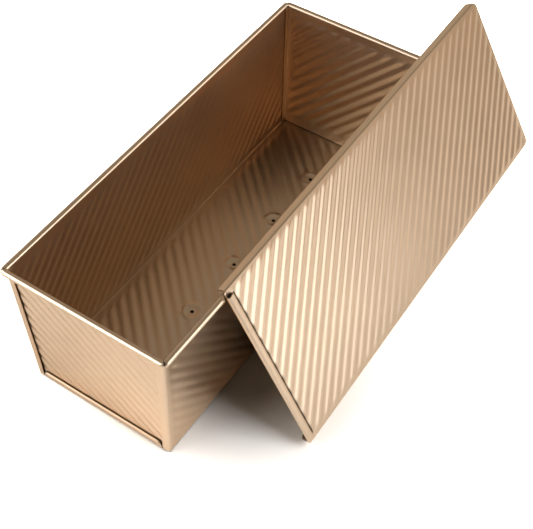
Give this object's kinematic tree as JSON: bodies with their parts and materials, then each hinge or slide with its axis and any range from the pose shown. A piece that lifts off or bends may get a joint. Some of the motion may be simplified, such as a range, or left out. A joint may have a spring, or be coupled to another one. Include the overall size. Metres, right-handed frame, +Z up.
{
  "type": "lidded pullman loaf pan",
  "caption": "Long straight-sided corrugated sheet metal loaf pan with wired rolled rims and a separate sliding lid leaning on one long rim",
  "frame": {"origin": "On the table, under the middle of the whole object with its lid leaning on it", "axes": "+X along the loaf toward the end that the lid reaches past, +Y across the pan away from the lid, +Z up"},
  "size_m": [0.4214, 0.2044, 0.127],
  "materials": {
    "pan_coating": "satin champagne-gold non-stick coating",
    "lid_coating": "satin champagne-gold non-stick coating",
    "bare_wire": "drawn"
  },
  "bodies": {
    "pan": {"pan_body_sheet": "pan_coating", "near_end_panel": "pan_coating", "far_end_panel": "pan_coating", "rim_wire": "bare_wire"},
    "lid": {"sliding_lid": "lid_coating"}
  },
  "joints": [
    {"name": "lid_lift", "type": "slide", "parent": "pan", "child": "lid", "axis": [0, 0, 1], "range_m": [0, 0.2]}
  ]
}
